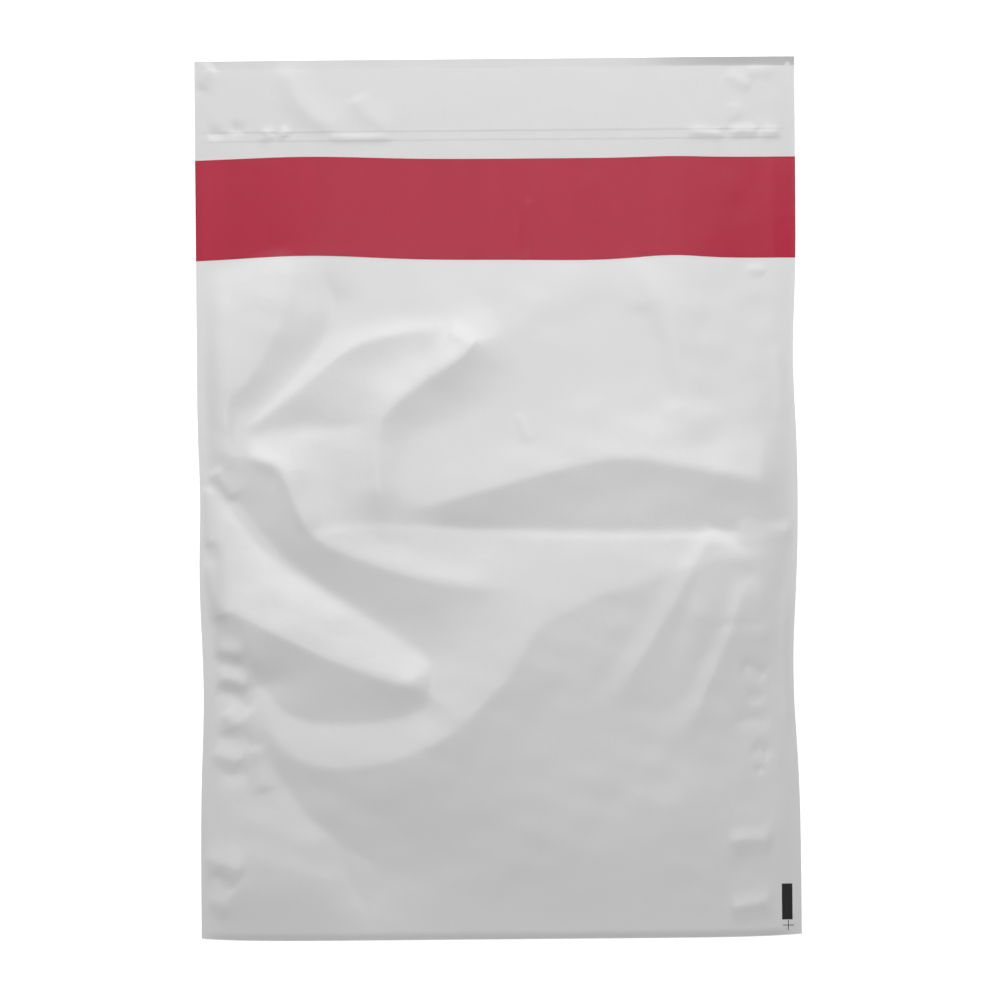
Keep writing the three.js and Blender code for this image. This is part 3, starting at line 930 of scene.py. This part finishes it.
class BAG_OT_closure_strips(bpy.types.Operator):
    """Model the adhesive strip and its release liner between the lips"""

    bl_idname = "bag.closure_strips"
    bl_label = "Closure strips"

    def execute(self, context):
        strips = context.scene.bag_strips
        panel = Panel(context.scene)
        columns, rows = grid_lines(panel)
        columns = within(columns, -STRIP_HALF, STRIP_HALF)
        low, high = ADHESIVE_BOX
        adhesive = strip_piece(
            panel,
            "closure_adhesive",
            columns,
            within(rows, low.y - MERGE, high.y + MERGE),
            lambda s, t: panel.back_inner(s, t) + strips.clearance / 2,
            strips.adhesive,
            strip_material("tacky_acrylic_adhesive", strips.adhesive_colour, rough=0.3, grain=2 * MM),
        )
        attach(adhesive, BODY)
        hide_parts("adhesive_strip")
        low, high = LINER_BOX
        liner = strip_piece(
            panel,
            "closure_liner",
            columns,
            within(rows, low.y - MERGE, high.y + MERGE),
            lambda s, t: panel.back_inner(s, t) + strips.clearance + panel.adhesive_step(t),
            strips.liner,
            strip_material("siliconised_release_paper", strips.liner_colour, rough=0.55, grain=0.8 * MM),
        )
        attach(liner, BODY)
        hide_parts("release_liner")
        return {"FINISHED"}


class BAG_OT_security_tape(bpy.types.Operator):
    """Model the red security tape across the front panel"""

    bl_idname = "bag.security_tape"
    bl_label = "Security tape"

    def execute(self, context):
        tape = context.scene.bag_tape
        panel = Panel(context.scene)
        columns, rows = grid_lines(panel)
        rows = within(rows, panel.tape_bottom - MERGE, panel.tape_top + MERGE)
        piece = strip_piece(
            panel,
            "red_tape",
            columns,
            rows,
            lambda s, t: panel.front_outer(s, t) + tape.gap,
            tape.thickness,
            tape_material("red_polyester_tape", tape.red),
            panel.tape_course,
        )
        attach(piece, BODY)
        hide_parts("security_tape")
        return {"FINISHED"}


FLOOR_SIZE = 6
FLOOR_GLOW = 0.55
PAPER_GRAIN = 3 * MM
PAPER_DEPTH = 0.01 * MM

# Place, aim and size of each light
TOP_WINDOW = ((0.1, 0.74, 1.04), (0, 0, 0), (1.36, 0.98))
LEFT_WINDOW = ((-1.2, 0.5, 1.7), (0, 0, 0), (1.2, 1.8))
CEILING_PANEL = ((0.02, 0.04, 2.2), (0.02, 0.04, 0), (0.6, 0.3))


def floor_material(name, colour):
    """Smooth white paper: lit as it is, with a glow for the camera that keeps the shadow."""
    material, tree, shader, place = new_material(name)
    grain = add_node(tree, "ShaderNodeTexNoise", {"Vector": place}, {"Scale": 1 / PAPER_GRAIN, "Detail": 2})
    bump = add_node(tree, "ShaderNodeBump", {"Height": grain.outputs["Fac"]}, {"Distance": PAPER_DEPTH})
    shader.inputs["Base Color"].default_value = linear(colour)
    shader.inputs["Roughness"].default_value = 0.9
    shader.inputs["Specular IOR Level"].default_value = 0.1
    tree.links.new(bump.outputs["Normal"], shader.inputs["Normal"])
    rays = add_node(tree, "ShaderNodeLightPath")
    seen = add_node(
        tree,
        "ShaderNodeMath",
        {0: rays.outputs["Is Camera Ray"], 1: rays.outputs["Is Glossy Ray"]},
        operation="MAXIMUM",
    )
    seen = add_node(
        tree,
        "ShaderNodeMath",
        {0: seen.outputs[0], 1: rays.outputs["Is Transmission Ray"]},
        operation="MAXIMUM",
    )
    glow = add_node(tree, "ShaderNodeMath", {0: seen.outputs[0]}, {1: FLOOR_GLOW}, operation="MULTIPLY")
    tree.links.new(glow.outputs[0], shader.inputs["Emission Strength"])
    shader.inputs["Emission Color"].default_value = (1, 1, 1, 1)
    return material


def area_light(name, place, aim, size, power):
    """A soft rectangular light that looks at a point and stays out of the picture."""
    bpy.ops.object.light_add(type="AREA", location=place)
    light = bpy.context.object
    light.name = name
    light.data.shape = "RECTANGLE"
    light.data.size, light.data.size_y = size
    light.data.energy = power
    light.rotation_euler = (Vector(aim) - Vector(place)).to_track_quat("-Z", "Y").to_euler()
    light.visible_camera = False


class BAG_OT_stage(bpy.types.Operator):
    """Set the table, the lights and the camera straight above the bag"""

    bl_idname = "bag.stage"
    bl_label = "Stage"

    def execute(self, context):
        scene = context.scene
        stage = scene.bag_stage
        bpy.ops.object.select_all(action="DESELECT")
        bpy.ops.mesh.primitive_plane_add(size=FLOOR_SIZE, location=(0, 0, 0))
        floor = context.object
        floor.name = "table"
        floor.data.materials.append(floor_material("white_paper", stage.floor))
        area_light("top_window", *TOP_WINDOW, stage.key)
        area_light("left_window", *LEFT_WINDOW, stage.fill)
        area_light("ceiling_panel", *CEILING_PANEL, stage.ceiling)
        world = scene.world or bpy.data.worlds.new("sky")
        scene.world = world
        world.use_nodes = True
        background = next(node for node in world.node_tree.nodes if node.type == "BACKGROUND")
        background.inputs["Color"].default_value = (1, 1, 1, 1)
        background.inputs["Strength"].default_value = stage.sky
        bpy.ops.object.camera_add(location=(*stage.aim, stage.distance), rotation=(0, 0, -stage.turn))
        camera = context.object
        camera.data.lens = camera.data.sensor_width * stage.distance / stage.picture
        scene.camera = camera
        scene.view_settings.view_transform = "Standard"
        return {"FINISHED"}


PIECES = (BAG_OT_film_pouch, BAG_OT_closure_strips, BAG_OT_security_tape, BAG_OT_stage)


class BAG_PT_panel(bpy.types.Panel):
    """The bag's pieces in the order that they are made"""

    bl_idname = "BAG_PT_panel"
    bl_label = "Deposit bag"
    bl_space_type = "VIEW_3D"
    bl_region_type = "UI"
    bl_category = "Deposit bag"

    def draw(self, context):
        for piece in PIECES:
            self.layout.operator(piece.bl_idname)


SETTINGS = {
    "bag_film": FilmSettings,
    "bag_strips": StripSettings,
    "bag_tape": TapeSettings,
    "bag_stage": StageSettings,
}


def register():
    for cls in (*SETTINGS.values(), *PIECES, BAG_PT_panel):
        bpy.utils.register_class(cls)
    for name, cls in SETTINGS.items():
        setattr(bpy.types.Scene, name, PointerProperty(type=cls))


def unregister():
    for name in SETTINGS:
        delattr(bpy.types.Scene, name)
    for cls in (BAG_PT_panel, *reversed(PIECES), *SETTINGS.values()):
        bpy.utils.unregister_class(cls)


def main():
    register()
    bpy.ops.bag.film_pouch()
    bpy.ops.bag.closure_strips()
    bpy.ops.bag.security_tape()
    bpy.ops.bag.stage()


if __name__ == "__main__":
    main()
